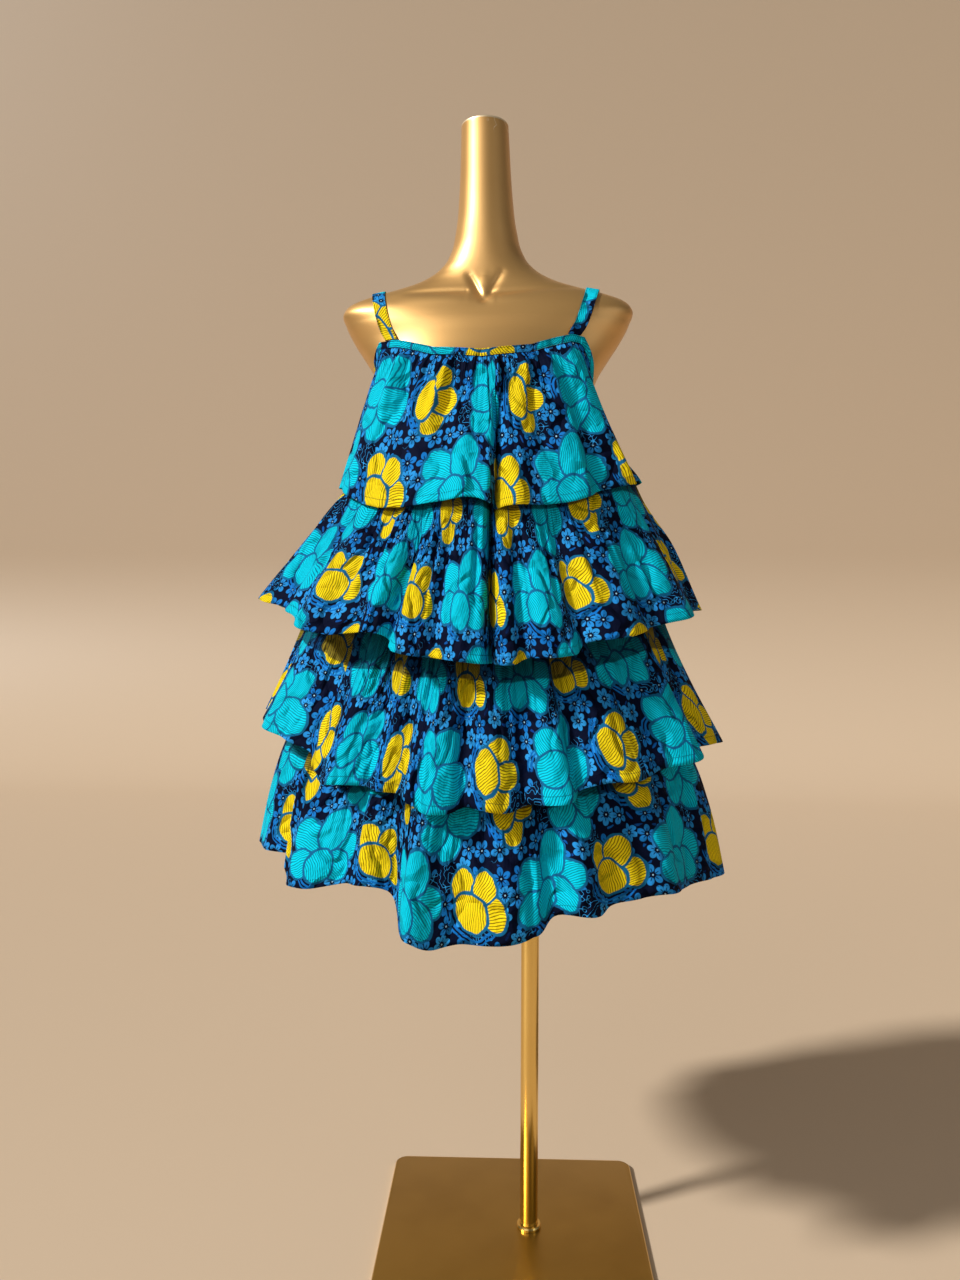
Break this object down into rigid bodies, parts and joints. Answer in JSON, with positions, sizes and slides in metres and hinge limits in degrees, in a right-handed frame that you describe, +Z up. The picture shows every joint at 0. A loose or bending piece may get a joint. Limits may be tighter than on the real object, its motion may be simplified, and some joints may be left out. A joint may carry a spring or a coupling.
{
  "type": "layered dress on a dress form",
  "caption": "Sleeveless layered dress with gathered tiers and narrow straps, worn on a smooth limbless dress form on a round pole and square plate.",
  "frame": {"origin": "middle of the square plate's underside, on the floor", "axes": "+Z up, -Y to the front of the dress, +X to the right as seen from the front"},
  "size_m": [0.6101, 0.5556, 1.4945],
  "materials": {
    "base_plate": "brushed, dark",
    "pole": "polished",
    "pole_ring": "polished",
    "form_body": "satin gold",
    "tier_1_front": "matte printed cotton",
    "tier_1_back": "matte printed cotton",
    "tier_2_front": "matte printed cotton",
    "tier_2_back": "matte printed cotton",
    "tier_3_front": "matte printed cotton",
    "tier_3_back": "matte printed cotton",
    "tier_4_front": "matte printed cotton",
    "tier_4_back": "matte printed cotton",
    "neckline_band_front": "matte printed cotton",
    "neckline_band_back": "matte printed cotton",
    "armhole_band_left": "matte printed cotton",
    "armhole_band_right": "matte printed cotton",
    "strap_left": "matte printed cotton",
    "strap_right": "matte printed cotton"
  },
  "bodies": {
    "root": {"base_plate": "base_plate", "pole": "pole", "pole_ring": "pole_ring", "form_body": "form_body", "tier_1_front": "tier_1_front", "tier_1_back": "tier_1_back", "tier_2_front": "tier_2_front", "tier_2_back": "tier_2_back", "tier_3_front": "tier_3_front", "tier_3_back": "tier_3_back", "tier_4_front": "tier_4_front", "tier_4_back": "tier_4_back", "neckline_band_front": "neckline_band_front", "neckline_band_back": "neckline_band_back", "armhole_band_left": "armhole_band_left", "armhole_band_right": "armhole_band_right", "strap_left": "strap_left", "strap_right": "strap_right"}
  },
  "joints": []
}
